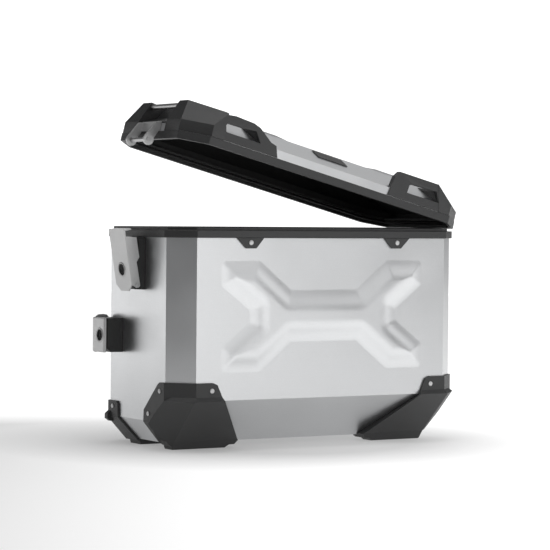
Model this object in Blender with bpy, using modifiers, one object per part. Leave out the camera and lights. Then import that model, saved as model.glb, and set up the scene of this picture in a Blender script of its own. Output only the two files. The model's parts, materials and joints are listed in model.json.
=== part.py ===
"""Aluminium motorcycle case with an end-hinged lid, modelled as separate physical pieces.

X runs along the case (left end at -X), -Y is the outer face and +Y the bike side, +Z is up.
The origin is on the floor under the middle of the overall size, latches included.  The lid stands
open on its hinge and the left latch lever stands unhooked.
"""

import math

import bmesh
import bpy
from mathutils import Matrix, Vector

# ---- driving dimensions, metres -------------------------------------------------------------
HALF_LENGTH = 0.250
HALF_DEPTH = 0.1197
CORNER_LEG = 0.0328
SHEET = 0.0015
GAP = 0.0003

SHELL_FLOOR = 0.009
SHELL_TOP = 0.3220
FRONT_FOLD_Z = 0.0757
FRONT_FOLD_RUN = 0.082
END_FOLD_Z = 0.0425
END_FOLD_RUN = 0.027
BACK_CORNER_Z = 0.038
BOTTOM_CORNER = 0.014

RIM_PROUD = 0.004
RIM_BOTTOM = 0.3130
RIM_STEP = 0.3240
RIM_TOP = 0.3284
LIP_INSET = 0.003
LIP_WIDTH = 0.009

EMBOSS_HEIGHT = 0.006
EMBOSS_SLOPE = 0.0165
EMBOSS_MIDDLE_Z = 0.198

LID_BOTTOM = RIM_STEP + GAP
LID_SEAM = 0.0120
LID_FOLD_Z = 0.0245
LID_CROWN_Z = 0.0478
LID_SHEET_INSET = 0.0020
CROWN_STEP = 0.0028
CROWN_STEP_X = 0.092
LID_SIDE_RUN = 0.032
LID_CROWN_Y = 0.0895
LID_END_RUN = 0.063
LID_CORNER_RUN = 0.030
LID_OPEN_DEG = 14.85
LID_PIVOT = Vector((0.267, 0.0, 0.320))

ROD_RADIUS = 0.003
ARM_RADIUS = 0.0085
ARM_INNER_Y = 0.0250
ARM_OUTER_Y = 0.0285

LEVER_AXIS_X = 0.264
LEVER_AXIS_Z = 0.2430
LEVER_FACE_X = 0.2735
LEVER_PLATE = 0.002
LEVER_HALF_WIDTH = 0.0245
LEVER_REST_DEG = 9.5
LOCK_Z = 0.2665
LOCK_RADIUS = 0.0068

CARRIER_Y0 = 0.0475
CARRIER_Y1 = 0.0868
CARRIER_Z0 = 0.1400
CARRIER_Z1 = 0.1910
CARRIER_FRONT_X = 0.2760
CARRIER_AXIS_X = 0.2700
CARRIER_AXIS_Z = 0.1440
CARRIER_LOCK_Y = 0.0620
CARRIER_LOCK_Z = 0.1652

PROTECTOR_FLANGE = 0.0032
PROTECTOR_BODY = 0.0080
RIVET_RADIUS = 0.0036
PUCK_RADIUS = 0.014
PUCK_THICKNESS = 0.0080

# The left lever stands out further than anything on the right, so the box sits off the origin by
# this much to bring the middle of the overall length over it.
CASE_OFFSET_X = 0.006

UP = Vector((0.0, 0.0, 1.0))


# ---- scene set-up ---------------------------------------------------------------------------
for old in list(bpy.data.objects):
    bpy.data.objects.remove(old, do_unlink=True)

parts = bpy.data.collections.new("motorcycle_case")
cutters = bpy.data.collections.new("cutters")
bpy.context.scene.collection.children.link(parts)
bpy.context.scene.collection.children.link(cutters)


def material(name, colour, roughness, metallic):
    """A plain Principled material."""
    made = bpy.data.materials.new(name)
    made.use_nodes = True
    shader = made.node_tree.nodes["Principled BSDF"]
    shader.inputs["Base Color"].default_value = (*colour, 1.0)
    shader.inputs["Roughness"].default_value = roughness
    shader.inputs["Metallic"].default_value = metallic
    return made


ALUMINIUM = ((0.62, 0.63, 0.64), 0.42, 1.0)
CAST_SILVER = ((0.40, 0.41, 0.42), 0.45, 1.0)
STEEL = ((0.60, 0.60, 0.61), 0.30, 1.0)
BLACK_PLASTIC = ((0.045, 0.045, 0.047), 0.55, 0.0)
DARK_PLASTIC = ((0.02, 0.02, 0.021), 0.60, 0.0)
RUBBER = ((0.015, 0.015, 0.015), 0.80, 0.0)


made_objects = []


def add_object(name, mesh, look=None):
    """Link a mesh as a part when it has a look, or as a hidden cutter when it has none."""
    piece = bpy.data.objects.new(name, mesh)
    made_objects.append(piece)
    if look is None:
        cutters.objects.link(piece)
        piece.hide_render = True
        piece.display_type = "WIRE"
    else:
        parts.objects.link(piece)
        mesh.materials.append(material(name, *look))
    return piece


def mesh_from(bm, name):
    """Close off a bmesh into a mesh with outward faces."""
    bmesh.ops.recalc_face_normals(bm, faces=bm.faces)
    mesh = bpy.data.meshes.new(name)
    bm.to_mesh(mesh)
    bm.free()
    return mesh


# ---- solids ---------------------------------------------------------------------------------
def block(name, low, high, look=None):
    """An axis-aligned box between two corners."""
    bm = bmesh.new()
    bmesh.ops.create_cube(bm, size=1.0)
    size = Vector(high) - Vector(low)
    bmesh.ops.scale(bm, vec=size, verts=bm.verts)
    bmesh.ops.translate(bm, vec=(Vector(high) + Vector(low)) / 2, verts=bm.verts)
    return add_object(name, mesh_from(bm, name), look)


def folded_solid(name, low, high, planes, look=None):
    """A box trimmed by planes, each a (point, outward normal) pair."""
    bm = bmesh.new()
    bmesh.ops.create_cube(bm, size=1.0)
    size = Vector(high) - Vector(low)
    bmesh.ops.scale(bm, vec=size, verts=bm.verts)
    bmesh.ops.translate(bm, vec=(Vector(high) + Vector(low)) / 2, verts=bm.verts)
    for point, normal in planes:
        everything = bm.verts[:] + bm.edges[:] + bm.faces[:]
        bmesh.ops.bisect_plane(
            bm, geom=everything, dist=1e-7, plane_co=point, plane_no=normal, clear_outer=True
        )
        rim = [edge for edge in bm.edges if edge.is_boundary]
        if rim:
            bmesh.ops.holes_fill(bm, edges=rim)
    return add_object(name, mesh_from(bm, name), look)


def hull_solid(name, points, look=None):
    """The convex solid around a set of corner points."""
    bm = bmesh.new()
    for point in points:
        bm.verts.new(point)
    result = bmesh.ops.convex_hull(bm, input=bm.verts)
    inside = [item for item in result["geom_interior"] if isinstance(item, bmesh.types.BMVert)]
    bmesh.ops.delete(bm, geom=inside, context="VERTS")
    bmesh.ops.dissolve_limit(bm, angle_limit=math.radians(0.5), verts=bm.verts, edges=bm.edges)
    return add_object(name, mesh_from(bm, name), look)


def outline_mesh(name, outline, thickness):
    """A flat closed outline in XY, extruded evenly about Z = 0."""
    curve = bpy.data.curves.new(name + "_outline", "CURVE")
    curve.dimensions = "2D"
    curve.fill_mode = "BOTH"
    curve.extrude = thickness / 2
    spline = curve.splines.new("POLY")
    spline.points.add(len(outline) - 1)
    for point, (x, y) in zip(spline.points, outline):
        point.co = (x, y, 0.0, 1.0)
    spline.use_cyclic_u = True
    holder = bpy.data.objects.new(name + "_outline", curve)
    bpy.context.scene.collection.objects.link(holder)
    graph = bpy.context.evaluated_depsgraph_get()
    mesh = bpy.data.meshes.new_from_object(holder.evaluated_get(graph))
    bpy.data.objects.remove(holder, do_unlink=True)
    bpy.data.curves.remove(curve)
    mesh.name = name
    bm = bmesh.new()
    bm.from_mesh(mesh)
    bmesh.ops.remove_doubles(bm, verts=bm.verts, dist=1e-6)
    bmesh.ops.recalc_face_normals(bm, faces=bm.faces)
    bm.to_mesh(mesh)
    bm.free()
    return mesh


TO_XZ = Matrix(((1, 0, 0), (0, 0, 1), (0, 1, 0))).to_4x4()
TO_YZ = Matrix(((0, 0, 1), (1, 0, 0), (0, 1, 0))).to_4x4()


def slab(name, outline, plane, low, high, look=None):
    """An outline drawn in XY, XZ or YZ, filling the third axis from low to high."""
    mesh = outline_mesh(name, outline, high - low)
    middle = (low + high) / 2
    if plane == "XY":
        mesh.transform(Matrix.Translation((0, 0, middle)))
    elif plane == "XZ":
        mesh.transform(Matrix.Translation((0, middle, 0)) @ TO_XZ)
        mesh.flip_normals()
    else:
        mesh.transform(Matrix.Translation((middle, 0, 0)) @ TO_YZ)
    return add_object(name, mesh, look)


def rod(name, start, end, radius, look=None, sides=20):
    """A plain cylinder from one point to another."""
    start = Vector(start)
    end = Vector(end)
    bm = bmesh.new()
    bmesh.ops.create_cone(
        bm, cap_ends=True, segments=sides, radius1=radius, radius2=radius, depth=(end - start).length
    )
    turn = UP.rotation_difference(end - start).to_matrix().to_4x4()
    bmesh.ops.transform(bm, matrix=Matrix.Translation((start + end) / 2) @ turn, verts=bm.verts)
    return add_object(name, mesh_from(bm, name), look)


def turned(name, profile, base, direction, look, steps=20):
    """A turned piece: (radius, height) profile from top to bottom, stood on base along direction."""
    mesh = bpy.data.meshes.new(name)
    corners = [(radius, 0.0, height) for radius, height in profile]
    mesh.from_pydata(corners, [(i, i + 1) for i in range(len(corners) - 1)], [])
    piece = add_object(name, mesh, look)
    screw = piece.modifiers.new("turn", "SCREW")
    screw.axis = "Z"
    screw.steps = steps
    screw.render_steps = steps
    screw.use_merge_vertices = True
    screw.merge_threshold = 1e-6
    piece.location = base
    piece.rotation_euler = UP.rotation_difference(Vector(direction)).to_euler()
    return piece


def boolean(piece, tool, operation):
    """Combine a piece with a tool and leave the modifier on the piece."""
    step = piece.modifiers.new(operation.lower() + "_" + tool.name, "BOOLEAN")
    step.operation = operation
    step.object = tool
    step.solver = "EXACT"


def cut(piece, *tools):
    for tool in tools:
        boolean(piece, tool, "DIFFERENCE")


def join(piece, *tools):
    for tool in tools:
        boolean(piece, tool, "UNION")


def keep(piece, *tools):
    for tool in tools:
        boolean(piece, tool, "INTERSECT")


def arc(centre, radius, angles):
    """Points on a circle at whole-degree angles."""
    x, y = centre
    return [(x + radius * math.cos(math.radians(a)), y + radius * math.sin(math.radians(a))) for a in angles]


def mirrored(outline, flip):
    """Mirror an outline's first coordinate when flip is -1."""
    return [(flip * a, b) for a, b in outline]


def octagon(half_x, half_y, leg):
    """Rectangle with its four corners cut at 45 degrees."""
    return [
        (half_x - leg, -half_y), (half_x, -half_y + leg), (half_x, half_y - leg), (half_x - leg, half_y),
        (-half_x + leg, half_y), (-half_x, half_y - leg), (-half_x, -half_y + leg), (-half_x + leg, -half_y),
    ]


def grown_octagon(extra):
    """The case outline moved outward by extra, corner facets included."""
    return octagon(HALF_LENGTH + extra, HALF_DEPTH + extra, CORNER_LEG + extra * (2 - math.sqrt(2)))


def ring(name, outer, inner, low, high, look):
    """A flat octagonal ring between two heights."""
    piece = slab(name, grown_octagon(outer), "XY", low, high, look)
    cut(piece, slab(name + "_bore", grown_octagon(inner), "XY", low - 0.01, high + 0.01))
    return piece


def facet_planes(half_x, half_y, leg, extra):
    """The four 45-degree corner planes, moved outward by extra."""
    planes = []
    for sign_x in (-1, 1):
        for sign_y in (-1, 1):
            normal = Vector((sign_x, sign_y, 0)).normalized()
            point = Vector((sign_x * (half_x - leg), sign_y * half_y, 0)) + normal * extra
            planes.append((point, normal))
    return planes


def plane_through(a, b, c, outside, extra):
    """Plane through three points, facing the outside point, moved outward by extra."""
    a, b, c = Vector(a), Vector(b), Vector(c)
    normal = (b - a).cross(c - a).normalized()
    if normal.dot(Vector(outside) - a) < 0:
        normal = -normal
    return (a + normal * extra, normal)


def end_fold_plane(side, extra):
    """The inward slope below one end wall, moved outward by extra."""
    return plane_through(
        (side * HALF_LENGTH, -HALF_DEPTH, END_FOLD_Z), (side * HALF_LENGTH, HALF_DEPTH, END_FOLD_Z),
        (side * (HALF_LENGTH - END_FOLD_RUN), 0, SHELL_FLOOR), (side, 0, -1), extra)


def case_body(name, extra, top, look=None):
    """The folded box, grown outward by extra (negative for its inside)."""
    length, depth = HALF_LENGTH, HALF_DEPTH
    planes = facet_planes(length, depth, CORNER_LEG, extra)
    planes.append(plane_through(
        (-length, -depth, FRONT_FOLD_Z), (length, -depth, FRONT_FOLD_Z),
        (0, -depth + FRONT_FOLD_RUN, SHELL_FLOOR), (0, -1, -1), extra))
    for side in (-1, 1):
        planes.append(end_fold_plane(side, extra))
        planes.append(plane_through(
            (side * (length - CORNER_LEG), -depth, FRONT_FOLD_Z),
            (side * length, -depth + CORNER_LEG, FRONT_FOLD_Z),
            (side * (length - END_FOLD_RUN - BOTTOM_CORNER), -depth + FRONT_FOLD_RUN, SHELL_FLOOR),
            (side, -1, -1), extra))
        planes.append(plane_through(
            (side * (length - CORNER_LEG), depth, BACK_CORNER_Z),
            (side * length, depth - CORNER_LEG, BACK_CORNER_Z),
            (side * (length - END_FOLD_RUN), depth - 0.0367, SHELL_FLOOR),
            (side, 1, -1), extra))
    low = (-length - extra, -depth - extra, SHELL_FLOOR - extra)
    high = (length + extra, depth + extra, top)
    return folded_solid(name, low, high, planes, look)


# ---- case shell -----------------------------------------------------------------------------
def emboss(name, shift):
    """The raised bow-tie with sloping flanks, moved back by shift."""
    middle = EMBOSS_MIDDLE_Z
    quarter = [(0.060, 0.031), (0.114, 0.0745), (0.174, 0.0745), (0.174, 0.0485), (0.121, 0.0125)]
    right = [(x, middle + z) for x, z in quarter] + [(x, middle - z) for x, z in reversed(quarter)]
    left = [(-x, z) for x, z in reversed(right)]
    bm = bmesh.new()
    face = bm.faces.new([bm.verts.new((x, -HALF_DEPTH + shift + 0.002, z)) for x, z in right + left])
    bmesh.ops.recalc_face_normals(bm, faces=[face])
    grown = bmesh.ops.extrude_face_region(bm, geom=[face])
    moved = [item for item in grown["geom"] if isinstance(item, bmesh.types.BMVert)]
    front = [item for item in grown["geom"] if isinstance(item, bmesh.types.BMFace)]
    bmesh.ops.translate(bm, vec=(0, -0.002, 0), verts=moved)
    bmesh.ops.recalc_face_normals(bm, faces=bm.faces)
    bmesh.ops.inset_region(
        bm, faces=front, thickness=EMBOSS_SLOPE, depth=EMBOSS_HEIGHT, use_even_offset=True
    )
    return add_object(name, mesh_from(bm, name))


case_shell = case_body("case_shell", 0.0, SHELL_TOP, look=ALUMINIUM)
join(case_shell, emboss("emboss_outside", 0.0002))
inside = case_body("case_inside", -SHEET, SHELL_TOP + 0.01)
join(inside, emboss("emboss_inside", SHEET + 0.0002))
cut(case_shell, inside)


# ---- rim frame ------------------------------------------------------------------------------
rim_frame = slab("rim_frame", grown_octagon(RIM_PROUD), "XY", RIM_BOTTOM, RIM_STEP, BLACK_PLASTIC)
lip = slab("rim_lip", grown_octagon(-LIP_INSET), "XY", RIM_STEP - 0.005, RIM_TOP)
tab_outline = [(0.1055, 0.3135), (0.1190, 0.2977), (0.1360, 0.2977), (0.1518, 0.3135), (0.1518, 0.318),
               (0.1055, 0.318)]
join(rim_frame, lip)
for side_x in (-1, 1):
    for side_y in (-1, 1):
        near = side_y * (HALF_DEPTH - 0.002)
        far = side_y * (HALF_DEPTH + RIM_PROUD - 0.0006)
        tab = slab("rim_tab", mirrored(tab_outline, side_x), "XZ", min(near, far), max(near, far))
        join(rim_frame, tab)
pocket = slab("rim_pocket", grown_octagon(GAP), "XY", 0.280, SHELL_TOP + GAP)
opening = slab("rim_opening", grown_octagon(-LIP_INSET - LIP_WIDTH), "XY", 0.270, RIM_TOP + 0.01)
cut(rim_frame, pocket, opening)


# ---- corner protectors ----------------------------------------------------------------------
def shoulder(level, drop, way):
    """Sloping planes that carry a raised body back to its flange all round, above (1) or below (-1)."""
    planes = []
    for turn in range(8):
        angle = math.radians(45 * turn)
        out = Vector((math.cos(angle), math.sin(angle), 0))
        if turn % 2:
            near_x = math.copysign(HALF_LENGTH - CORNER_LEG, out.x)
            corner = Vector((near_x, math.copysign(HALF_DEPTH, out.y), 0))
        else:
            corner = Vector((round(out.x) * HALF_LENGTH, round(out.y) * HALF_DEPTH, 0))
        point = corner + out * PROTECTOR_BODY + UP * (level - way * drop)
        planes.append((point, (out * drop + way * UP * (PROTECTOR_BODY - PROTECTOR_FLANGE)).normalized()))
    return planes


def raised_body(name, low_z, high_z, planes):
    """The part of a protector that stands proud of its flange, before it is trimmed to its corner."""
    half_x = HALF_LENGTH + PROTECTOR_BODY
    half_y = HALF_DEPTH + PROTECTOR_BODY
    corners = facet_planes(HALF_LENGTH, HALF_DEPTH, CORNER_LEG, PROTECTOR_BODY)
    return folded_solid(name, (-half_x, -half_y, low_z), (half_x, half_y, high_z), corners + planes)


def protector(name, side_x, side_y, body, foot_corners, face_outline, end_outline, body_outline):
    """A moulded corner: thin riveted flange, thick body, foot, and a pocket for the shell."""
    flange = case_body(name, PROTECTOR_FLANGE, 0.110, look=BLACK_PLASTIC)
    keep(body, slab(name + "_body_end", mirrored(body_outline, side_y), "YZ", -0.3, 0.3))
    foot = hull_solid(name + "_foot", [(side_x * x, side_y * y, z) for x, y, z in foot_corners])
    join(flange, body, foot)
    inner, outer = sorted((0, side_x * 0.3))
    keep(flange, slab(name + "_face", mirrored(face_outline, side_x), "XZ", -0.2, 0.2))
    keep(flange, slab(name + "_end", mirrored(end_outline, side_y), "YZ", inner, outer))
    cut(flange, case_body(name + "_pocket", GAP, 0.2))
    return flange


FRONT_FACE_OUTLINE = [(0.262, 0.102), (0.190, 0.102), (0.183, 0.099), (0.172, 0.0745), (0.112, 0.0110),
                      (0.116, 0.0048), (0.125, 0.0045), (0.132, -0.001), (0.2195, -0.001), (0.221, 0.005),
                      (0.231, 0.013), (0.262, 0.015)]
FRONT_END_OUTLINE = [(0.130, 0.102), (0.075, 0.102), (0.069, 0.099), (0.0262, 0.0590), (0.0250, 0.0395),
                     (0.0262, 0.0100), (0.0290, -0.001), (0.130, -0.001)]
FRONT_BODY_OUTLINE = [(0.130, 0.0890), (0.1040, 0.0890), (0.0940, 0.0780), (0.0480, 0.0400), (0.0492, 0.0100),
                      (0.130, 0.0100)]
FRONT_FOOT = [(0.100, 0.0620, 0.0175), (0.2205, 0.0620, 0.0175), (0.2280, 0.0500, 0.0175),
              (0.2280, 0.0300, 0.0175),
              (0.100, 0.0300, 0.0175), (0.100, 0.0620, 0.0130), (0.2205, 0.0620, 0.0130),
              (0.2280, 0.0500, 0.0130),
              (0.2280, 0.0300, 0.0130), (0.100, 0.0300, 0.0), (0.100, 0.0530, 0.0), (0.2190, 0.0530, 0.0),
              (0.2190, 0.0300, 0.0)]
BACK_FACE_OUTLINE = [(0.262, 0.0655), (0.208, 0.0655), (0.200, 0.0600), (0.185, -0.001), (0.262, -0.001)]
BACK_END_OUTLINE = [(0.130, 0.0655), (0.0620, 0.0655), (0.0575, 0.0610), (0.0570, 0.0425), (0.0450, 0.0085),
                    (0.0450, -0.001), (0.130, -0.001)]
BACK_BODY_OUTLINE = [(0.130, 0.0600), (0.0810, 0.0600), (0.0810, 0.0250), (0.130, 0.0250)]
BACK_FOOT = [(0.170, 0.0400, 0.0150), (0.2240, 0.0400, 0.0150), (0.2240, 0.0780, 0.0150),
             (0.2170, 0.0850, 0.0150),
             (0.170, 0.0850, 0.0150), (0.170, 0.0400, 0.0), (0.2200, 0.0400, 0.0), (0.2200, 0.0770, 0.0),
             (0.2150, 0.0820, 0.0), (0.170, 0.0820, 0.0)]
front_y = -HALF_DEPTH - PROTECTOR_BODY
front_planes = shoulder(0.0813, 0.0064, 1)
front_planes.append(plane_through((-0.1, front_y, 0.0755), (0.1, front_y, 0.0755),
                                  (0, -0.062, 0.013), (0, -1, -1), 0))
for side in (-1, 1):
    front_planes.append(end_fold_plane(side, PROTECTOR_BODY))
    front_planes.append(plane_through((side * 0.2239, -0.1193, 0.0690), (side * 0.2205, -0.0620, 0.0130),
                                      (side * 0.2592, -0.0485, 0.0400), (side, -1, -1), 0))
back_planes = shoulder(0.0500, 0.0050, 1) + shoulder(0.0340, 0.0040, -1)
for side_x, side_name in ((-1, "left"), (1, "right")):
    name = f"protector_front_{side_name}"
    body = raised_body(name + "_body", 0.0130, 0.0813, front_planes)
    protector(name, side_x, -1, body, FRONT_FOOT, FRONT_FACE_OUTLINE, FRONT_END_OUTLINE, FRONT_BODY_OUTLINE)
    name = f"protector_back_{side_name}"
    body = raised_body(name + "_body", 0.0340, 0.0500, back_planes)
    protector(name, side_x, 1, body, BACK_FOOT, BACK_FACE_OUTLINE, BACK_END_OUTLINE, BACK_BODY_OUTLINE)

# ---- rivets ---------------------------------------------------------------------------------
RIVET_PROFILE = [(0.0, 0.0012), (0.0018, 0.0010), (0.0030, 0.0006), (RIVET_RADIUS, 0.0), (0.0, 0.0)]
flange_y = HALF_DEPTH + PROTECTOR_FLANGE + GAP
flange_x = HALF_LENGTH + PROTECTOR_FLANGE + GAP
tab_y = HALF_DEPTH + RIM_PROUD - 0.0006 + GAP
for side_x, side_name in ((-1, "left"), (1, "right")):
    spots = {
        "front_face": ((side_x * 0.1923, -flange_y, 0.0906), (0, -1, 0)),
        "front_end_upper": ((side_x * flange_x, -0.0753, 0.0893), (side_x, 0, 0)),
        "front_end_lower": ((side_x * flange_x, -0.0403, 0.0541), (side_x, 0, 0)),
        "back_face": ((side_x * 0.2100, flange_y, 0.0575), (0, 1, 0)),
        "back_end": ((side_x * flange_x, 0.0735, 0.0575), (side_x, 0, 0)),
        "tab_front": ((side_x * 0.1285, -tab_y, 0.3063), (0, -1, 0)),
        "tab_back": ((side_x * 0.1285, tab_y, 0.3063), (0, 1, 0)),
    }
    for spot, (base, direction) in spots.items():
        turned(f"rivet_{spot}_{side_name}", RIVET_PROFILE, base, direction, CAST_SILVER, steps=14)

# ---- mounting pucks on the bike side --------------------------------------------------------
PUCK_PROFILE = [(0.0, PUCK_THICKNESS), (0.0110, PUCK_THICKNESS), (PUCK_RADIUS, 0.0050), (PUCK_RADIUS, GAP),
                (0.0, GAP)]
for side_x, side_name in ((-1, "left"), (1, "right")):
    for height, level in ((0.110, "lower"), (0.265, "upper")):
        base = (side_x * 0.160, HALF_DEPTH, height)
        turned(f"mount_puck_{level}_{side_name}", PUCK_PROFILE, base, (0, 1, 0), DARK_PLASTIC, steps=24)


# ---- end latches ----------------------------------------------------------------------------
def hang(members, axis_point, angle_deg, name):
    """Parent pieces to an empty on their joint's axis, turned about Y by the rest angle."""
    pivot = bpy.data.objects.new(name, None)
    parts.objects.link(pivot)
    pivot.location = axis_point
    pivot.rotation_euler = (0, math.radians(angle_deg), 0)
    for member in members:
        member.parent = pivot
        member.matrix_parent_inverse = Matrix.Translation(-Vector(axis_point))


def disc(name, side, x0, x1, y, z, radius, look=None, sides=24):
    """A short cylinder along X at a height on one end of the case."""
    return rod(name, (side * x0, y, z), (side * x1, y, z), radius, look, sides)


def latch(side, tag, rest_deg):
    """Base, keyed lever with its hook finger, pivot pin, lock barrel and lock cam."""
    knuckle = arc((LEVER_AXIS_X, LEVER_AXIS_Z), 0.0070, range(10, -91, -20))
    base_outline = [(0.2503, 0.3127), (0.2600, 0.3127), (0.2600, 0.2830), (0.2625, 0.2775), (0.2625, 0.2560),
                    (0.2685, 0.2500)] + knuckle + [(0.2503, 0.2355)]
    base = slab(f"latch_base_{tag}", mirrored(base_outline, side), "XZ", -0.0220, 0.0220, DARK_PLASTIC)
    pin_line = [(side * LEVER_AXIS_X, y, LEVER_AXIS_Z) for y in (-0.0300, 0.0300)]
    cut(base, rod(f"latch_base_bore_{tag}", *pin_line, 0.0023))

    shaft = [(0.0, 0.0520), (0.0032, 0.0520), (0.0032, 0.0508), (0.0022, 0.0508), (0.0022, 0.0012),
             (0.0032, 0.0012), (0.0032, 0.0), (0.0, 0.0)]
    turned(f"latch_pin_{tag}", shaft, (side * LEVER_AXIS_X, -0.0260, LEVER_AXIS_Z), (0, 1, 0), STEEL)

    first = len(made_objects)
    width = LEVER_HALF_WIDTH
    inner = LEVER_FACE_X - LEVER_PLATE
    plate_outline = [(-width, 0.3265), (-width, 0.2440), (-0.012, 0.2345), (0.012, 0.2345), (width, 0.2440),
                     (width, 0.3265)]
    low, high = sorted((side * inner, side * LEVER_FACE_X))
    lever = slab(f"latch_lever_{tag}", plate_outline, "YZ", low, high, CAST_SILVER)
    finger_low, finger_high = sorted((side * 0.2615, side * (LEVER_FACE_X - 0.0005)))
    join(lever, block(f"latch_finger_{tag}", (finger_low, -width, 0.3242), (finger_high, width, 0.3265)))
    flank = [(LEVER_FACE_X - 0.0005, 0.2440), (LEVER_FACE_X - 0.0005, 0.3155), (0.2700, 0.3155),
             (0.2546, 0.3118),
             (0.2546, 0.2826), (0.2600, 0.2757), (0.2596, 0.2440), (0.2600, 0.2400), (0.2625, 0.2385),
             (0.2665, 0.2385), (0.2690, 0.2410)]
    for y0, y1, hand in ((-width, -width + 0.0022, "near"), (width - 0.0022, width, "far")):
        join(lever, slab(f"latch_flank_{hand}_{tag}", mirrored(flank, side), "XZ", y0, y1))
    cut(lever, rod(f"latch_lever_bore_{tag}", *pin_line, 0.0023))
    cut(lever, disc(f"latch_lock_bore_{tag}", side, 0.2650, 0.2800, 0, LOCK_Z, LOCK_RADIUS + 0.0004))

    barrel = disc(f"latch_lock_{tag}", side, 0.2666, 0.2722, 0, LOCK_Z, LOCK_RADIUS, STEEL)
    slot_low, slot_high = sorted((side * 0.2700, side * 0.2740))
    cut(barrel, block(f"latch_key_slot_{tag}", (slot_low, -0.0010, LOCK_Z - 0.0035),
                      (slot_high, 0.0010, LOCK_Z + 0.0035)))
    cam_low, cam_high = sorted((side * 0.2650, side * 0.2663))
    block(f"latch_cam_{tag}", (cam_low, -0.0040, LOCK_Z - 0.0100), (cam_high, 0.0040, LOCK_Z + 0.0050), STEEL)
    hang(made_objects[first:], (side * LEVER_AXIS_X, 0, LEVER_AXIS_Z), side * rest_deg, f"latch_pivot_{tag}")


latch(-1, "left", LEVER_REST_DEG)
latch(1, "right", 0.0)

# ---- carrier lock on the left end -----------------------------------------------------------
carrier_middle = (CARRIER_Y0 + CARRIER_Y1) / 2
housing_outline = [(-0.2503, CARRIER_Z0), (-CARRIER_AXIS_X - 0.0005, CARRIER_Z0),
                   (-CARRIER_FRONT_X, CARRIER_AXIS_Z + 0.0010), (-CARRIER_FRONT_X, CARRIER_Z1),
                   (-0.2503, CARRIER_Z1)]
carrier_housing = slab("carrier_lock_housing", housing_outline, "XZ", CARRIER_Y0, CARRIER_Y1, DARK_PLASTIC)
cut(carrier_housing,
    block("carrier_lug_slot", (-0.2800, carrier_middle - 0.0083, 0.1300),
          (-0.2632, carrier_middle + 0.0083, 0.1510)),
    block("carrier_barrel_well", (-0.2800, CARRIER_LOCK_Y - 0.0085, 0.1565),
          (-0.2640, CARRIER_LOCK_Y + 0.0085, 0.1740)))
carrier_pin_line = [(-CARRIER_AXIS_X, y, CARRIER_AXIS_Z) for y in (0.0400, 0.1000)]
cut(carrier_housing, rod("carrier_housing_bore", *carrier_pin_line, 0.0023))

first = len(made_objects)
cap_low, cap_high = -CARRIER_FRONT_X - 0.0056, -CARRIER_FRONT_X - 0.0004
carrier_lever = block("carrier_lock_lever", (cap_low, CARRIER_Y0, CARRIER_Z0 - 0.0005),
                      (cap_high, CARRIER_Y1, CARRIER_Z1 + 0.0005), CAST_SILVER)
edge = carrier_lever.modifiers.new("rounded_edges", "BEVEL")
edge.width = 0.0022
edge.segments = 2
edge.limit_method = "ANGLE"
join(carrier_lever, block("carrier_lug", (cap_high - 0.002, carrier_middle - 0.0075, 0.1402),
                          (-0.2660, carrier_middle + 0.0075, 0.1478)))
cut(carrier_lever, rod("carrier_lever_bore", *carrier_pin_line, 0.0023))
cut(carrier_lever, disc("carrier_lock_bore", -1, 0.2700, 0.2900, CARRIER_LOCK_Y, CARRIER_LOCK_Z, 0.0074))
carrier_barrel = disc("carrier_lock_barrel", -1, 0.2700, 0.2802, CARRIER_LOCK_Y, CARRIER_LOCK_Z, 0.0070,
                      STEEL)
cut(carrier_barrel, block("carrier_key_slot", (-0.2820, CARRIER_LOCK_Y - 0.0010, CARRIER_LOCK_Z - 0.0035),
                          (-0.2770, CARRIER_LOCK_Y + 0.0010, CARRIER_LOCK_Z + 0.0035)))
pin_profile = [(0.0, 0.0486), (0.0022, 0.0486), (0.0022, 0.0012), (0.0032, 0.0012), (0.0032, 0.0), (0.0, 0.0)]
turned("carrier_lock_pin", pin_profile, (-CARRIER_AXIS_X, CARRIER_Y0 - 0.0015, CARRIER_AXIS_Z),
       (0, 1, 0), STEEL)
hook_outline = [(-0.2765, 0.1385), (-0.2640, 0.1385), (-0.2640, 0.1600), (-0.2555, 0.1700), (-0.2530, 0.1905),
                (-0.2565, 0.1945), (-0.2620, 0.1955), (-0.2700, 0.1950), (-0.2765, 0.1905)]
carrier_hook = slab("carrier_lock_hook", hook_outline, "XZ", CARRIER_Y1 + 0.0006, CARRIER_Y1 + 0.0041,
                    CAST_SILVER)
cut(carrier_hook, rod("carrier_hook_bore", *carrier_pin_line, 0.0023))
hang(made_objects[first:], (-CARRIER_AXIS_X, carrier_middle, CARRIER_AXIS_Z), 0.0, "carrier_pivot")

# ---- lid, modelled shut and then swung open about the right-hand catch rod ---------------------
lid_first = len(made_objects)
LID_HALF_LENGTH = HALF_LENGTH + RIM_PROUD
LID_HALF_DEPTH = HALF_DEPTH + RIM_PROUD
SEAM = LID_BOTTOM + LID_SEAM


def lid_z(height):
    """Height above the lid's lower edge, as a world height with the lid shut."""
    return LID_BOTTOM + height


def lid_slope_planes(inset, extra):
    """Side, end and corner slopes of the lid sheet, moved outward by extra."""
    half_x = LID_HALF_LENGTH - inset
    half_y = LID_HALF_DEPTH - inset
    rise = LID_CROWN_Z - LID_FOLD_Z
    planes = []
    for side in (-1, 1):
        for normal, point in (
            (Vector((0, side * rise, LID_SIDE_RUN)), Vector((0, side * half_y, lid_z(LID_FOLD_Z)))),
            (Vector((side * rise, 0, LID_END_RUN)), Vector((side * half_x, 0, lid_z(LID_FOLD_Z)))),
        ):
            normal.normalize()
            planes.append((point + normal * extra, normal))
    leg = CORNER_LEG + (RIM_PROUD - inset) * (2 - math.sqrt(2))
    for point, flat in facet_planes(half_x, half_y, leg, 0.0):
        normal = (flat * rise + UP * LID_CORNER_RUN).normalized()
        planes.append((point + UP * lid_z(LID_FOLD_Z) + normal * extra, normal))
    return planes


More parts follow.
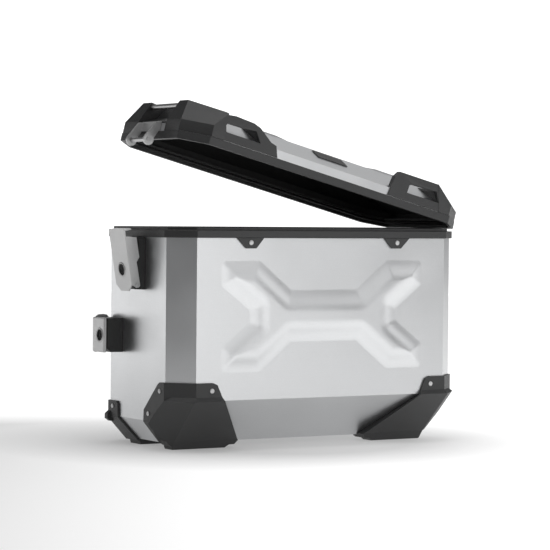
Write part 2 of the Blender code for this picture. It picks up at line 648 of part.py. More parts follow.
def lid_body(name, extra, bottom, look=None):
    """The folded lid sheet's outer form, grown outward by extra."""
    half_x = LID_HALF_LENGTH - LID_SHEET_INSET
    half_y = LID_HALF_DEPTH - LID_SHEET_INSET
    leg = CORNER_LEG + (RIM_PROUD - LID_SHEET_INSET) * (2 - math.sqrt(2))
    planes = facet_planes(half_x, half_y, leg, extra) + lid_slope_planes(LID_SHEET_INSET, extra)
    low = (-half_x - extra, -half_y - extra, bottom)
    high = (half_x + extra, half_y + extra, lid_z(LID_CROWN_Z) + extra)
    return folded_solid(name, low, high, planes, look)


def crown_pad(name, side, extra):
    """Shallow raised field at one end of the lid's top."""
    crown = lid_z(LID_CROWN_Z)
    half_y = LID_CROWN_Y + extra
    points = [(side * x, y, crown - 0.0005) for x in (CROWN_STEP_X - 0.025 - extra, 0.1885 + extra)
              for y in (-half_y, half_y)]
    points += [(side * x, y, crown + CROWN_STEP + extra) for x in (CROWN_STEP_X - extra, 0.1860 + extra)
               for y in (0.0025 - half_y, half_y - 0.0025)]
    return hull_solid(name, points)


lid_panel = lid_body("lid_panel", 0.0, SEAM + GAP, ALUMINIUM)
join(lid_panel, crown_pad("lid_crown_left", -1, 0.0), crown_pad("lid_crown_right", 1, 0.0))
cut(lid_panel, lid_body("lid_panel_inside", -0.0012, SEAM - 0.01))
lid_liner = lid_body("lid_liner", -0.0015, SEAM + GAP, DARK_PLASTIC)
cut(lid_liner, lid_body("lid_liner_inside", -0.0030, SEAM - 0.01))

lid_frame = slab("lid_frame", grown_octagon(RIM_PROUD), "XY", LID_BOTTOM, SEAM, BLACK_PLASTIC)
cut(lid_frame,
    slab("lid_frame_rebate", grown_octagon(-0.0018), "XY", LID_BOTTOM - 0.01, lid_z(0.0085)),
    slab("lid_frame_opening", grown_octagon(-0.0140), "XY", LID_BOTTOM - 0.02, SEAM + 0.01))
ring("lid_seal", -0.0022, -0.0110, lid_z(0.0048), lid_z(0.0082), RUBBER)


def lid_outline(points):
    """Lift a side outline drawn above the lid's lower edge to world height."""
    return [(x, lid_z(z)) for x, z in points]


LEFT_LOOP = [(-0.2050, 0.0126), (-0.2050, 0.0400), (-0.1985, 0.0500), (-0.1850, 0.0520), (-0.1530, 0.0505),
             (-0.1410, 0.0470), (-0.1180, 0.0314), (-0.1080, 0.0290), (-0.1020, 0.0126)]
LEFT_WINDOW = [(-0.1950, 0.0250), (-0.1980, 0.0345), (-0.1953, 0.0385), (-0.1670, 0.0390), (-0.1460, 0.0402),
               (-0.1348, 0.0250)]
RIGHT_LOOP = [(0.2050, 0.0126), (0.1000, 0.0126), (0.1060, 0.0435), (0.1130, 0.0525), (0.1850, 0.0527),
              (0.2050, 0.0350)]
LEFT_GUSSET = [
    (-0.1330, -0.1190, 0.0240), (-0.1567, -0.1005, 0.0385), (-0.1600, -0.0960, 0.0425),
    (-0.1250, -0.0960, 0.0425),
    (-0.1150, -0.1190, 0.0240), (-0.1345, -0.1150, 0.0262), (-0.1455, -0.1150, 0.0405),
    (-0.1400, -0.1150, 0.0440),
    (-0.1200, -0.1150, 0.0310), (-0.1150, -0.1150, 0.0290),
]
RIGHT_GUSSET = [
    (0.1955, -0.1190, 0.0240), (0.1683, -0.1005, 0.0390), (0.1650, -0.0960, 0.0425),
    (0.2000, -0.0960, 0.0425),
    (0.2040, -0.1190, 0.0240), (0.1935, -0.1150, 0.0262), (0.1860, -0.1150, 0.0412),
    (0.1900, -0.1150, 0.0440),
    (0.2040, -0.1150, 0.0300),
]
RIGHT_WINDOW = [(0.1335, 0.0250), (0.1350, 0.0373), (0.1410, 0.0400), (0.1857, 0.0414), (0.1940, 0.0254)]
LEFT_TOWER = [
    (-0.2536, -0.0437, 0.0123), (-0.2536, -0.0877, 0.0123), (-0.2172, -0.1237, 0.0123),
    (-0.1960, -0.1237, 0.0123),
    (-0.2536, -0.0437, 0.0290), (-0.2536, -0.0877, 0.0290), (-0.2172, -0.1237, 0.0290),
    (-0.2400, -0.0700, 0.0625),
    (-0.2400, -0.0437, 0.0625), (-0.2030, -0.0437, 0.0610), (-0.1990, -0.1140, 0.0550),
    (-0.1975, -0.1237, 0.0525),
    (-0.1960, -0.0437, 0.0123),
]
RIGHT_TOWER = [
    (0.2536, -0.0437, 0.0123), (0.2536, -0.0877, 0.0123), (0.2172, -0.1237, 0.0123),
    (0.1980, -0.1237, 0.0123),
    (0.2536, -0.0437, 0.0270), (0.2536, -0.0877, 0.0270), (0.2172, -0.1237, 0.0290),
    (0.1863, -0.1237, 0.0530),
    (0.1860, -0.0437, 0.0530), (0.1980, -0.0437, 0.0123),
]
lid_skin = lid_body("lid_skin_clearance", GAP, SEAM - 0.002)
join(lid_skin, crown_pad("lid_skin_left", -1, GAP), crown_pad("lid_skin_right", 1, GAP))


def lid_corner(name, tower_points, loop, window, gusset, side_y):
    """Moulded corner: a block over the sheet's corner and an upright lashing loop beside it."""
    points = [(x, -side_y * y, lid_z(z)) for x, y, z in tower_points]
    corner = hull_solid(name, points, BLACK_PLASTIC)
    outer = side_y * (LID_HALF_DEPTH - 0.0004)
    inner = side_y * (LID_HALF_DEPTH - 0.0090)
    strap = slab(name + "_loop", lid_outline(loop), "XZ", min(outer, inner), max(outer, inner))
    join(corner, strap)
    deep = side_y * (LID_HALF_DEPTH - 0.030)
    past = side_y * (LID_HALF_DEPTH + 0.010)
    cut(corner, slab(name + "_window", lid_outline(window), "XZ", min(deep, past), max(deep, past)))
    join(corner, hull_solid(name + "_gusset", [(x, -side_y * y, lid_z(z)) for x, y, z in gusset]))
    cut(corner, lid_skin)
    return corner


for side_y, hand in ((-1, "front"), (1, "back")):
    lid_corner(f"lid_corner_{hand}_left", LEFT_TOWER, LEFT_LOOP, LEFT_WINDOW, LEFT_GUSSET, side_y)
    lid_corner(f"lid_corner_{hand}_right", RIGHT_TOWER, RIGHT_LOOP, RIGHT_WINDOW, RIGHT_GUSSET, side_y)

left_cover_outline = lid_outline([(-0.2505, 0.0123), (-0.2505, 0.0276), (-0.2260, 0.0408), (-0.2140, 0.0605),
                                  (-0.2030, 0.0605), (-0.1800, 0.0480), (-0.1800, 0.0123)])
right_cover_outline = lid_outline([(0.2505, 0.0123), (0.2505, 0.0276), (0.1860, 0.0528),
                                   (0.1845, 0.0480), (0.1845, 0.0123)])
lid_cover_left = slab("lid_end_cover_left", left_cover_outline, "XZ", -0.0434, 0.0434, BLACK_PLASTIC)
lid_cover_right = slab("lid_end_cover_right", right_cover_outline, "XZ", -0.0434, 0.0434, BLACK_PLASTIC)
cut(lid_cover_left, lid_skin)
cut(lid_cover_right, lid_skin)

rod("carry_bar", (-0.2360, -0.0434, lid_z(0.0560)), (-0.2360, 0.0434, lid_z(0.0560)), 0.0042, STEEL, 24)


def slope_point(x, along, lift):
    """A point on the front slope: along runs from the fold (0) to the crown (1)."""
    half_y = LID_HALF_DEPTH - LID_SHEET_INSET
    rise = LID_CROWN_Z - LID_FOLD_Z
    normal = Vector((0, -rise, LID_SIDE_RUN)).normalized()
    base = Vector((x, -half_y + along * LID_SIDE_RUN, lid_z(LID_FOLD_Z + along * rise)))
    return base + normal * lift


badge_corners = [(-0.030, 0.88), (0.023, 0.88), (0.030, 0.50), (-0.023, 0.50)]
hull_solid("lid_inlay", [slope_point(x, s, lift) for x, s in badge_corners for lift in (GAP, 0.0016)],
           DARK_PLASTIC)


def catch(side, tag):
    """Bracket on the lid's end with two arms, and the cross rod that the latch hooks over."""
    rod_x = side * LID_PIVOT.x
    rod_z = LID_PIVOT.z
    plate_low, plate_high = sorted((side * 0.2523, side * 0.2547))
    bracket = block(f"catch_bracket_{tag}", (plate_low, -ARM_OUTER_Y, lid_z(0.0125)),
                    (plate_high, ARM_OUTER_Y, lid_z(0.0270)), CAST_SILVER)
    tip = arc((LID_PIVOT.x, rod_z), ARM_RADIUS, range(30, -211, -20))
    arm = [(0.2532, lid_z(0.0270)), (0.2620, lid_z(0.0240))] + tip
    arm += [(0.2547, lid_z(0.0100)), (0.2547, lid_z(0.0125)), (0.2532, lid_z(0.0130))]
    for y0, y1, hand in ((-ARM_OUTER_Y, -ARM_INNER_Y, "near"), (ARM_INNER_Y, ARM_OUTER_Y, "far")):
        join(bracket, slab(f"catch_arm_{hand}_{tag}", mirrored(arm, side), "XZ", y0, y1))
    cut(bracket, rod(f"catch_bore_{tag}", (rod_x, -0.04, rod_z), (rod_x, 0.04, rod_z), ROD_RADIUS + GAP))
    head = 0.0036
    length = 2 * ARM_OUTER_Y + 2 * GAP
    profile = [(0.0, length + 0.0024), (head, length + 0.0024), (head, length + 0.0012),
               (ROD_RADIUS, length + 0.0012), (ROD_RADIUS, 0.0012), (head, 0.0012), (head, 0.0), (0.0, 0.0)]
    turned(f"catch_rod_{tag}", profile, (rod_x, -length / 2 - 0.0012, rod_z), (0, 1, 0), STEEL, steps=24)


catch(-1, "left")
catch(1, "right")
hang(made_objects[lid_first:], LID_PIVOT, LID_OPEN_DEG, "lid_pivot")

# ---- centre the overall length on the origin --------------------------------------------------
for piece in list(parts.objects) + list(cutters.objects):
    if piece.parent is None:
        piece.location.x += CASE_OFFSET_X
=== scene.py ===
"""Looks for the aluminium motorcycle case: smooth-edged pieces and procedural finishes on the CAD frame.

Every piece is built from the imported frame, in metres, and rides on one of its bodies.
"""

import json
import math

import bmesh
import bpy
from mathutils import Matrix, Vector

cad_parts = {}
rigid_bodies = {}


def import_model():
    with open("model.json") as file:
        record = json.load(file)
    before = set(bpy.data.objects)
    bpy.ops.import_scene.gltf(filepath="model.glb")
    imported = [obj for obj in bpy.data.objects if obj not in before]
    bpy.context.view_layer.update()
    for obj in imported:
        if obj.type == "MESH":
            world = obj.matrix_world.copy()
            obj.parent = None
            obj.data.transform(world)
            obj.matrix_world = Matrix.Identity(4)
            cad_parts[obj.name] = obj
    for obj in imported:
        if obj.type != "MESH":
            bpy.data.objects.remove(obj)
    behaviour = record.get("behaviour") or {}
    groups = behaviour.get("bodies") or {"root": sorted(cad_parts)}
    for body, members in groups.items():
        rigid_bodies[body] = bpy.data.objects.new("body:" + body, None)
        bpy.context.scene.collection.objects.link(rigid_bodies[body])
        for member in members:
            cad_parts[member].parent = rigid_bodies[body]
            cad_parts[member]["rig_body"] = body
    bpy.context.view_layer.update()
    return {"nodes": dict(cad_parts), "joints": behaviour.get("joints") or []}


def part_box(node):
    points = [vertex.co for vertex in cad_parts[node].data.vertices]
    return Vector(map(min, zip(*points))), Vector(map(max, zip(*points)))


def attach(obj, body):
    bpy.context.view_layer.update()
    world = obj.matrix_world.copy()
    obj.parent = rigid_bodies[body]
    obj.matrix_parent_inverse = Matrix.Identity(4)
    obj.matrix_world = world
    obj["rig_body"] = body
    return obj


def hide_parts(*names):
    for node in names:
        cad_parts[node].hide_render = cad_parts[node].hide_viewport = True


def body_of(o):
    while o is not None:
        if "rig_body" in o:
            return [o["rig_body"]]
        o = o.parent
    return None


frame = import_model()
nodes = frame["nodes"]
UP = Vector((0.0, 0.0, 1.0))


# ---- finishes -------------------------------------------------------------------------------
def add_node(tree, kind, **values):
    """A shader node with its sockets set by name."""
    node = tree.nodes.new("ShaderNode" + kind)
    for name, value in values.items():
        node.inputs[name.replace("_", " ")].default_value = value
    return node


def spread(tree, source, low, high, from_low=0.3, from_high=0.7):
    """Remap a 0 to 1 pattern onto a range."""
    step = add_node(tree, "MapRange")
    step.inputs["From Min"].default_value = from_low
    step.inputs["From Max"].default_value = from_high
    step.inputs["To Min"].default_value = low
    step.inputs["To Max"].default_value = high
    tree.links.new(source, step.inputs["Value"])
    return step.outputs["Result"]


def mixed(tree, factor, first, second):
    """Blend two colours, each a tuple or a socket."""
    step = tree.nodes.new("ShaderNodeMix")
    step.data_type = "RGBA"
    tree.links.new(factor, step.inputs["Factor"])
    for slot, colour in (("A", first), ("B", second)):
        socket = [item for item in step.inputs if item.name == slot and item.type == "RGBA"][0]
        if isinstance(colour, tuple):
            socket.default_value = (*colour, 1.0)
        else:
            tree.links.new(colour, socket)
    return [item for item in step.outputs if item.type == "RGBA"][0]


def edge_mask(tree, radius, reach):
    """1 along convex edges and 0 on flat areas."""
    rounded = add_node(tree, "Bevel", Radius=radius)
    rounded.samples = 4
    geometry = add_node(tree, "NewGeometry")
    dot = add_node(tree, "VectorMath")
    dot.operation = "DOT_PRODUCT"
    tree.links.new(rounded.outputs["Normal"], dot.inputs[0])
    tree.links.new(geometry.outputs["Normal"], dot.inputs[1])
    return spread(tree, dot.outputs["Value"], 1.0, 0.0, 1.0 - reach, 0.999)


def finish_look(name, colours, metallic, roughness, grain, stretch=(1, 1, 1), wear=None, lines=None,
                specular=0.5):
    """Clouded colour, grained bump, uneven gloss, worn edges and optional brushed lines."""
    look = bpy.data.materials.new(name)
    look.use_nodes = True
    tree = look.node_tree
    shader = tree.nodes["Principled BSDF"]
    shader.inputs["Metallic"].default_value = metallic
    shader.inputs["Specular IOR Level"].default_value = specular
    place = add_node(tree, "TexCoord").outputs["Object"]
    scaled = add_node(tree, "Mapping", Scale=stretch)
    tree.links.new(place, scaled.inputs["Vector"])
    cloud = add_node(tree, "TexNoise", Scale=11.0, Detail=3.0)
    fine = add_node(tree, "TexNoise", Scale=grain[0], Detail=5.0, Roughness=0.62)
    specks = add_node(tree, "TexVoronoi", Scale=grain[0] * 0.55)
    tree.links.new(place, cloud.inputs["Vector"])
    tree.links.new(scaled.outputs["Vector"], fine.inputs["Vector"])
    tree.links.new(scaled.outputs["Vector"], specks.inputs["Vector"])
    broad = mixed(tree, spread(tree, cloud.outputs["Fac"], 0.0, 1.0), colours[0], colours[1])
    grainy = mixed(tree, spread(tree, fine.outputs["Fac"], 0.0, 0.5), broad, colours[2])
    height = spread(tree, fine.outputs["Fac"], 0.0, 1.0)
    if lines:
        drawn = add_node(tree, "Mapping", Scale=lines)
        tree.links.new(place, drawn.inputs["Vector"])
        brushed = add_node(tree, "TexNoise", Scale=1.0, Detail=6.0, Roughness=0.75)
        tree.links.new(drawn.outputs["Vector"], brushed.inputs["Vector"])
        grainy = mixed(tree, spread(tree, brushed.outputs["Fac"], 0.0, 0.22), grainy, colours[2])
    gloss = add_node(tree, "Math")
    gloss.operation = "ADD"
    tree.links.new(spread(tree, cloud.outputs["Fac"], roughness[0], roughness[1]), gloss.inputs[0])
    tree.links.new(spread(tree, specks.outputs["Distance"], -0.03, 0.03, 0.0, 0.8), gloss.inputs[1])
    rough = gloss.outputs["Value"]
    if wear:
        rub = add_node(tree, "Math")
        rub.operation = "MULTIPLY"
        tree.links.new(edge_mask(tree, wear[1], wear[2]), rub.inputs[0])
        tree.links.new(spread(tree, fine.outputs["Fac"], 0.35, 1.0), rub.inputs[1])
        grainy = mixed(tree, rub.outputs["Value"], grainy, wear[0])
    tree.links.new(grainy, shader.inputs["Base Color"])
    tree.links.new(rough, shader.inputs["Roughness"])
    bump = add_node(tree, "Bump", Strength=0.5, Distance=grain[1])
    tree.links.new(height, bump.inputs["Height"])
    tree.links.new(bump.outputs["Normal"], shader.inputs["Normal"])
    return look


def grey(value, cool=0.0):
    """Linear grey with a little blue in it."""
    return (value * (1 - cool), value, value * (1 + cool))


SHEET = finish_look("anodised_sheet", (grey(0.70, 0.012), grey(0.74, 0.012), grey(0.64, 0.01)), 1.0,
                    (0.30, 0.37), (900, 0.00004), wear=(grey(0.85), 0.0012, 0.25), lines=(14, 14, 900))
CAST = finish_look("cast_silver_coat", (grey(0.56), grey(0.62), grey(0.46)), 0.85, (0.36, 0.46),
                   (1500, 0.00012), wear=(grey(0.75), 0.0007, 0.2))
RIVET = finish_look("rivet_alloy", (grey(0.62), grey(0.68), grey(0.50)), 0.85, (0.42, 0.52),
                    (2600, 0.00006), wear=(grey(0.8), 0.0004, 0.2))
STEEL = finish_look("brushed_steel", (grey(0.52), grey(0.58), grey(0.40)), 1.0, (0.34, 0.42),
                    (1800, 0.00004), stretch=(1, 0.08, 1), wear=(grey(0.8), 0.0005, 0.2),
                    lines=(900, 12, 900))
BLACK = finish_look("grained_black_plastic", (grey(0.019, 0.02), grey(0.023, 0.02), grey(0.030, 0.02)), 0.0,
                    (0.42, 0.50), (2200, 0.00018), wear=(grey(0.045), 0.0009, 0.3), specular=0.6)
DARK = finish_look("dark_plastic", (grey(0.014), grey(0.018), grey(0.024)), 0.0, (0.42, 0.55),
                   (2000, 0.00012), wear=(grey(0.06), 0.0008, 0.3))
LINER = finish_look("liner_plastic", (grey(0.010), grey(0.013), grey(0.018)), 0.0, (0.55, 0.68),
                    (1200, 0.0002), wear=(grey(0.03), 0.001, 0.3))
INLAY = finish_look("inlay_plastic", (grey(0.040), grey(0.048), grey(0.060)), 0.0, (0.40, 0.50),
                    (2600, 0.0001), wear=(grey(0.10), 0.0006, 0.3))
SEAL = finish_look("seal_rubber", (grey(0.010), grey(0.014), grey(0.020)), 0.0, (0.70, 0.82),
                   (1600, 0.0002), wear=(grey(0.03), 0.001, 0.3))


# ---- pieces ---------------------------------------------------------------------------------
def place_piece(name, mesh, look, body, replaced=()):
    """Link a mesh as a piece that rides on a body."""
    piece = bpy.data.objects.new(name, mesh)
    bpy.context.scene.collection.objects.link(piece)
    mesh.materials.clear()
    mesh.materials.append(look)
    mesh.polygons.foreach_set("use_smooth", [True] * len(mesh.polygons))
    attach(piece, body)
    if replaced:
        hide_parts(*replaced)
    return piece


def soften(piece, width, segments=3, angle=20, weighted=False):
    """Rounded edges with flat faces kept flat."""
    bevel = piece.modifiers.new("rounded_edges", "BEVEL")
    bevel.width = width
    bevel.segments = segments
    bevel.limit_method = "WEIGHT" if weighted else "ANGLE"
    bevel.angle_limit = math.radians(angle)
    bevel.harden_normals = True
    bevel.miter_outer = "MITER_ARC"
    flat = piece.modifiers.new("flat_faces", "WEIGHTED_NORMAL")
    flat.weight = 100
    flat.keep_sharp = True


def welded(node):
    """A CAD node's mesh with its triangles joined back into flat faces."""
    bm = bmesh.new()
    bm.from_mesh(nodes[node].data)
    bmesh.ops.remove_doubles(bm, verts=bm.verts, dist=3e-6)
    bmesh.ops.dissolve_limit(bm, angle_limit=math.radians(0.8), verts=bm.verts, edges=bm.edges)
    return bm


def thin_edge(edge):
    """How much of the full radius a sheet's edge takes: little on its cut edges."""
    narrowest = min(face.calc_area() / face.calc_perimeter() for face in edge.link_faces)
    return 0.2 if narrowest < 0.0012 else 1.0


def flatten_pressing(bm):
    """Take the pressed pattern out of the front wall, which gets a soft-edged one of its own."""
    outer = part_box("case_shell")[0].y + EMBOSS_HEIGHT
    for vert in bm.verts:
        if vert.co.y < outer - EMBOSS_HEIGHT + 0.0008:
            vert.co.y = outer
        elif vert.co.y < outer - 0.0004:
            vert.co.y = outer + SHEET_THICKNESS
    bmesh.ops.remove_doubles(bm, verts=bm.verts, dist=3e-6)
    bmesh.ops.dissolve_limit(bm, angle_limit=math.radians(0.8), verts=bm.verts, edges=bm.edges)


def reshaped(node, look, width, segments=3, angle=20, weigh=None, change=None):
    """A smooth-edged piece on a CAD node's own form; weigh gives each edge its share of the radius."""
    bm = welded(node)
    if change:
        change(bm)
    if weigh:
        weights = bm.edges.layers.float.new("bevel_weight_edge")
        for edge in bm.edges:
            if len(edge.link_faces) == 2 and edge.calc_face_angle(0.0) > math.radians(angle):
                edge[weights] = weigh(edge)
    mesh = bpy.data.meshes.new(node + "_form")
    bm.to_mesh(mesh)
    bm.free()
    piece = place_piece(node + "_form", mesh, look, body_of(nodes[node])[0], (node,))
    soften(piece, width, segments, angle, weighted=bool(weigh))
    return piece


def lathe(name, profile, base, direction, look, body, replaced=(), steps=40):
    """A turned piece from a (radius, height) profile, stood on base along direction."""
    bm = bmesh.new()
    turns = [(math.cos(math.tau * k / steps), math.sin(math.tau * k / steps)) for k in range(steps)]
    rings = []
    for radius, height in profile:
        if radius < 1e-6:
            rings.append([bm.verts.new((0, 0, height))])
        else:
            rings.append([bm.verts.new((radius * across, radius * along, height))
                          for across, along in turns])
    for lower, upper in zip(rings, rings[1:]):
        for k in range(steps):
            corners = [lower[k % len(lower)], lower[(k + 1) % len(lower)],
                       upper[(k + 1) % len(upper)], upper[k % len(upper)]]
            corners = list(dict.fromkeys(corners))
            if len(corners) > 2:
                bm.faces.new(corners)
    bmesh.ops.recalc_face_normals(bm, faces=bm.faces)
    turn = UP.rotation_difference(Vector(direction)).to_matrix().to_4x4()
    bmesh.ops.transform(bm, matrix=Matrix.Translation(Vector(base)) @ turn, verts=bm.verts)
    mesh = bpy.data.meshes.new(name)
    bm.to_mesh(mesh)
    bm.free()
    piece = place_piece(name, mesh, look, body, replaced)
    crease = piece.modifiers.new("edge_split", "EDGE_SPLIT")
    crease.split_angle = math.radians(38)
    return piece


# ---- folded sheet ---------------------------------------------------------------------------
EMBOSS_HEIGHT = 0.0058
SHEET_THICKNESS = 0.0015
FLANK_RUN = 0.0170
TOP_ROUNDING = 0.0028
FOOT_ROUNDING = 0.0036
PRESSING_Z = 0.198
PRESSING_WIDTH = 0.384
PRESSING_TALL = 0.188
PRESSING_INSET = 0.00008
reshaped("case_shell", SHEET, 0.0024, 3, 12, weigh=thin_edge, change=flatten_pressing)
reshaped("lid_panel", SHEET, 0.0022, 3, 5, weigh=thin_edge)
reshaped("lid_liner", LINER, 0.0015, 2, 12, weigh=thin_edge)


def smooth_min(a, b, reach):
    """The lower of two heights with a rounded change from one to the other."""
    overlap = max(reach - abs(a - b), 0.0) / reach
    return min(a, b) - overlap * overlap * reach / 4


def pressing_height(x, z, outline):
    """Height of the bow-tie pressing: flat top, sloping flanks, rounded edges."""
    nearest = 1.0
    inside = False
    for (ax, az), (bx, bz) in zip(outline, outline[1:] + outline[:1]):
        dx, dz = bx - ax, bz - az
        along = ((x - ax) * dx + (z - az) * dz) / (dx * dx + dz * dz)
        along = min(max(along, 0.0), 1.0)
        nearest = min(nearest, math.hypot(x - ax - along * dx, z - az - along * dz))
        if (az > z) != (bz > z) and x < ax + (z - az) * dx / dz:
            inside = not inside
    ramp = (nearest if inside else -nearest) / FLANK_RUN * EMBOSS_HEIGHT
    return -smooth_min(-smooth_min(ramp, EMBOSS_HEIGHT, TOP_ROUNDING), 0.0, FOOT_ROUNDING)


shell_low, shell_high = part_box("case_shell")
middle_x = (shell_low.x + shell_high.x) / 2
quarter = [(0.060, 0.031), (0.114, 0.0745), (0.169, 0.0740), (0.169, 0.0485), (0.121, 0.0125)]
half = quarter + [(x, -z) for x, z in reversed(quarter)]
outline = [(x, PRESSING_Z + z) for x, z in half] + [(-x, PRESSING_Z + z) for x, z in reversed(half)]
bm = bmesh.new()
bmesh.ops.create_grid(bm, x_segments=160, y_segments=78, size=0.5)
face_y = shell_low.y + EMBOSS_HEIGHT
for vert in bm.verts:
    x, z = vert.co.x * PRESSING_WIDTH, PRESSING_Z + vert.co.y * PRESSING_TALL
    height = pressing_height(x, z, outline)
    vert.co = Vector((middle_x + x, face_y - height + PRESSING_INSET, z))
if bm.faces[:][0].normal.y > 0:
    bmesh.ops.reverse_faces(bm, faces=bm.faces)
pressing_mesh = bpy.data.meshes.new("case_pressing")
bm.to_mesh(pressing_mesh)
bm.free()
place_piece("case_pressing", pressing_mesh, SHEET, "case")

# ---- moulded frames and corners ---------------------------------------------------------------
lid_joint = [joint for joint in frame["joints"] if joint["name"] == "lid_hinge"][0]
LID_TILT = Matrix.Rotation(math.radians(-lid_joint["range_deg"][0]), 4, Vector((0, 1, 0)))
LID_DOWN = LID_TILT @ Vector((0, 0, -1))


def seam_edge(edge):
    """Lid corners keep a tight edge where they meet the frame below and the sheet inside."""
    underneath = any(face.normal.dot(LID_DOWN) > 0.95 for face in edge.link_faces)
    return 0.0 if underneath else 1.0


reshaped("rim_frame", BLACK, 0.0009, 3, 25)
reshaped("lid_frame", BLACK, 0.0004, 2, 25)
for node in nodes:
    if node.startswith("protector_"):
        reshaped(node, BLACK, 0.0024, 4, 10)
    elif node.startswith("lid_corner_"):
        reshaped(node, BLACK, 0.0022, 3, 12, weigh=seam_edge)
    elif node.startswith("lid_end_cover_"):
        reshaped(node, BLACK, 0.0012, 3, 15)
    elif node.startswith("latch_base_"):
        reshaped(node, DARK, 0.0008, 3, 30)
    elif node.startswith("latch_lever_"):
        reshaped(node, CAST, 0.0009, 3, 25)
    elif node.startswith("catch_bracket_"):
        reshaped(node, CAST, 0.0008, 3, 30)
    elif node.startswith("latch_cam_"):
        reshaped(node, STEEL, 0.0004, 2, 30)
    elif node.startswith("latch_pin_"):
        reshaped(node, STEEL, 0.0004, 2, 40)
    elif node.startswith("latch_lock_"):
        reshaped(node, LINER, 0.0005, 2, 40)
    elif node.startswith("mount_puck_"):
        reshaped(node, DARK, 0.0010, 3, 20)
    elif node.startswith("catch_rod_"):
        reshaped(node, STEEL, 0.0004, 2, 40)
reshaped("lid_seal", SEAL, 0.0012, 3, 30)
reshaped("lid_inlay", INLAY, 0.0005, 2, 30)
reshaped("carrier_lock_housing", DARK, 0.0012, 3, 25)
reshaped("carrier_lock_lever", CAST, 0.0006, 2, 30)
reshaped("carrier_lock_hook", CAST, 0.0006, 2, 30)
reshaped("carrier_lock_barrel", LINER, 0.0005, 2, 40)
reshaped("carrier_lock_pin", DARK, 0.0004, 2, 40)
reshaped("carry_bar", STEEL, 0.0008, 2, 40)

# ---- lock collars -----------------------------------------------------------------------------
COLLAR = [(0.0071, -0.0012), (0.0071, 0.0002), (0.0076, 0.0006), (0.0084, 0.0004), (0.0087, -0.0004)]
RAISED = [(0.0086, -0.0004), (0.0090, 0.0006), (0.0100, 0.0009), (0.0110, 0.0005), (0.0116, -0.0004)]
LOCKS = (("left_key", "latch_lever_left", 0.0041), ("right_key", "latch_lever_right", 0.0041),
         ("carrier_key_turn", "carrier_lock_lever", 0.0066))
for joint_name, lever, proud in LOCKS:
    joint = [item for item in frame["joints"] if item["name"] == joint_name][0]
    outward = Vector(joint["axis"])
    face_centre = Vector(joint["pos_m"]) + outward * proud
    body = body_of(nodes[lever])[0]
    lathe(lever + "_collar", COLLAR, face_centre, outward, LINER, body)
    lathe(lever + "_boss", RAISED, face_centre, outward, CAST, body)

# ---- rivets -----------------------------------------------------------------------------------
RIVET_FACE = [(0.0, 0.00085), (0.0010, 0.00085), (0.0012, 0.0011), (0.0020, 0.0011), (0.0031, 0.0008),
              (0.0036, 0.0003), (0.0036, 0.0)]
for node in nodes:
    if node.startswith("rivet_"):
        low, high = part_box(node)
        size = high - low
        across = min(range(3), key=lambda axis: size[axis])
        centre = (low + high) / 2
        outward = Vector((0, 0, 0))
        outward[across] = 1.0 if centre[across] > 0 else -1.0
        base = centre.copy()
        base[across] = low[across] if outward[across] > 0 else high[across]
        lathe(node + "_head", RIVET_FACE, base, outward, RIVET, "case", (node,))


# ---- studio -----------------------------------------------------------------------------------
def studio_look(name, glow, near, far, painted_shade_edge, heading):
    """Matt grey surface that glows white as painted light, with a painted contact shadow near the object
    and painted shade to the left in front of it.
    """
    look = bpy.data.materials.new(name)
    look.use_nodes = True
    tree = look.node_tree
    shader = tree.nodes["Principled BSDF"]
    shader.inputs["Base Color"].default_value = (0.45, 0.45, 0.45, 1.0)
    shader.inputs["Roughness"].default_value = 0.9
    shader.inputs["Emission Color"].default_value = (1.0, 1.0, 1.0, 1.0)
    place = add_node(tree, "TexCoord").outputs["Object"]
    length = add_node(tree, "VectorMath")
    length.operation = "LENGTH"
    tree.links.new(place, length.inputs[0])
    turned = add_node(tree, "Mapping", Rotation=(0.0, 0.0, -heading))
    tree.links.new(place, turned.inputs["Vector"])
    split = add_node(tree, "SeparateXYZ")
    tree.links.new(turned.outputs["Vector"], split.inputs["Vector"])
    glow_with_painted_shadow = add_node(tree, "Math")
    glow_with_painted_shadow.operation = "MULTIPLY"
    # Glow falls off within about half a metre of the origin: a painted contact shadow under the object.
    tree.links.new(spread(tree, length.outputs["Value"], near, far, 0.20, 0.46), glow_with_painted_shadow.inputs[0])
    either = add_node(tree, "Math")
    either.operation = "MAXIMUM"
    # Glow drops to almost nothing left of this edge in front of the object: painted shade for the metal to
    # reflect.
    glow_with_left_painted_shade = spread(tree, split.outputs["X"], 0.04, glow, painted_shade_edge, painted_shade_edge + 1.1)
    tree.links.new(glow_with_left_painted_shade, either.inputs[0])
    tree.links.new(spread(tree, split.outputs["Y"], 0.0, 0.9, 0.0, 0.5), either.inputs[1])
    tree.links.new(either.outputs["Value"], glow_with_painted_shadow.inputs[1])
    tree.links.new(glow_with_painted_shadow.outputs["Value"], shader.inputs["Emission Strength"])
    return look


def stage_mesh(name, corners, faces, look):
    """Link a studio surface that is not a part of the object."""
    mesh = bpy.data.meshes.new(name)
    mesh.from_pydata(corners, [], faces)
    mesh.materials.append(look)
    piece = bpy.data.objects.new(name, mesh)
    bpy.context.scene.collection.objects.link(piece)


AZIMUTH, ELEVATION, ROLL = math.radians(-31.06), math.radians(1.40), math.radians(0.49)
back = Vector((math.sin(AZIMUTH) * math.cos(ELEVATION), -math.cos(AZIMUTH) * math.cos(ELEVATION),
               math.sin(ELEVATION)))
side = UP.cross(back).normalized()
over = back.cross(side)
level_back = Vector((back.x, back.y, 0)).normalized()
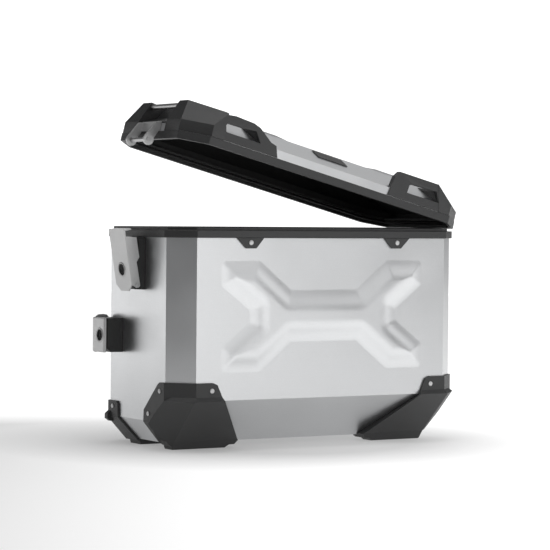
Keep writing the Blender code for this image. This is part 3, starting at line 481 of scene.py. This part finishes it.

# The floor's glow is painted light, with a painted contact shadow round the object and painted shade to its
# front left.
floor_look = studio_look("studio_floor", 0.95, 0.38, 1.0, -0.95, AZIMUTH)
stage_mesh("studio_floor", [(-9, -9, 0), (9, -9, 0), (9, 9, 0), (-9, 9, 0)], [(0, 1, 2, 3)], floor_look)
sweep_look = studio_look("studio_sweep", 1.05, 0.5, 1.0, -6.0, AZIMUTH)
profile = [(7.0, 0.001)] + [(7.6 + 0.8 * math.sin(math.radians(a)), 0.8 - 0.8 * math.cos(math.radians(a)))
                            for a in range(0, 91, 10)] + [(8.4, 5.0)]
corners = []
for away, height in profile:
    for across in (-2.4, 2.4):
        corners.append(tuple(-level_back * away + side * across + UP * height))
faces = [(2 * k, 2 * k + 1, 2 * k + 3, 2 * k + 2) for k in range(len(profile) - 1)]
stage_mesh("studio_sweep", corners, faces, sweep_look)


LIGHT_AIM = Vector((0.0, 0.0, 0.2))


def softbox(name, azimuth, height, distance, width, tall, power):
    """A large area light at an azimuth round the object, aimed at its middle."""
    lamp = bpy.data.lights.new(name, "AREA")
    lamp.shape = "RECTANGLE"
    lamp.size = width
    lamp.size_y = tall
    lamp.energy = power
    holder = bpy.data.objects.new(name, lamp)
    bpy.context.scene.collection.objects.link(holder)
    angle = math.radians(azimuth)
    holder.location = (math.sin(angle) * distance, -math.cos(angle) * distance, height)
    holder.rotation_euler = (LIGHT_AIM - holder.location).to_track_quat("-Z", "Y").to_euler()


softbox("softbox_front", 9, 0.6, 1.5, 0.95, 1.1, 2.7)
softbox("softbox_right", 72, 0.2, 2.6, 1.1, 1.4, 3)
softbox("softbox_left_back", -150, 0.4, 2.8, 1.8, 1.4, 5.5)
softbox("softbox_front_top", 58, 1.45, 2.5, 2.2, 1.6, 11)
softbox("softbox_left_top", -62, 2.3, 1.9, 1.6, 1.6, 8)
softbox("softbox_back_top", 118, 2.1, 2.2, 2.0, 2.0, 6)
softbox("softbox_top", -40, 2.4, 0.3, 1.3, 1.3, 15)

world = bpy.data.worlds.new("studio_world")
world.use_nodes = True
world.node_tree.nodes["Background"].inputs["Color"].default_value = (0.12, 0.12, 0.122, 1.0)
bpy.context.scene.world = world
bpy.context.scene.view_settings.view_transform = "Standard"

# ---- camera -----------------------------------------------------------------------------------
lens = bpy.data.cameras.new("camera")
lens.sensor_width = 36.0
lens.lens = 158.0
lens.clip_end = 50.0
camera = bpy.data.objects.new("camera", lens)
bpy.context.scene.collection.objects.link(camera)
right = math.cos(ROLL) * side + math.sin(ROLL) * over
upward = -math.sin(ROLL) * side + math.cos(ROLL) * over
spot = Vector((0.006, 0.0, 0.2055)) - 0.0111 * right + 0.0496 * upward + 3.705 * back
turned_axes = Matrix((right, upward, back)).transposed().to_4x4()
camera.matrix_world = Matrix.Translation(spot) @ turned_axes
bpy.context.scene.camera = camera
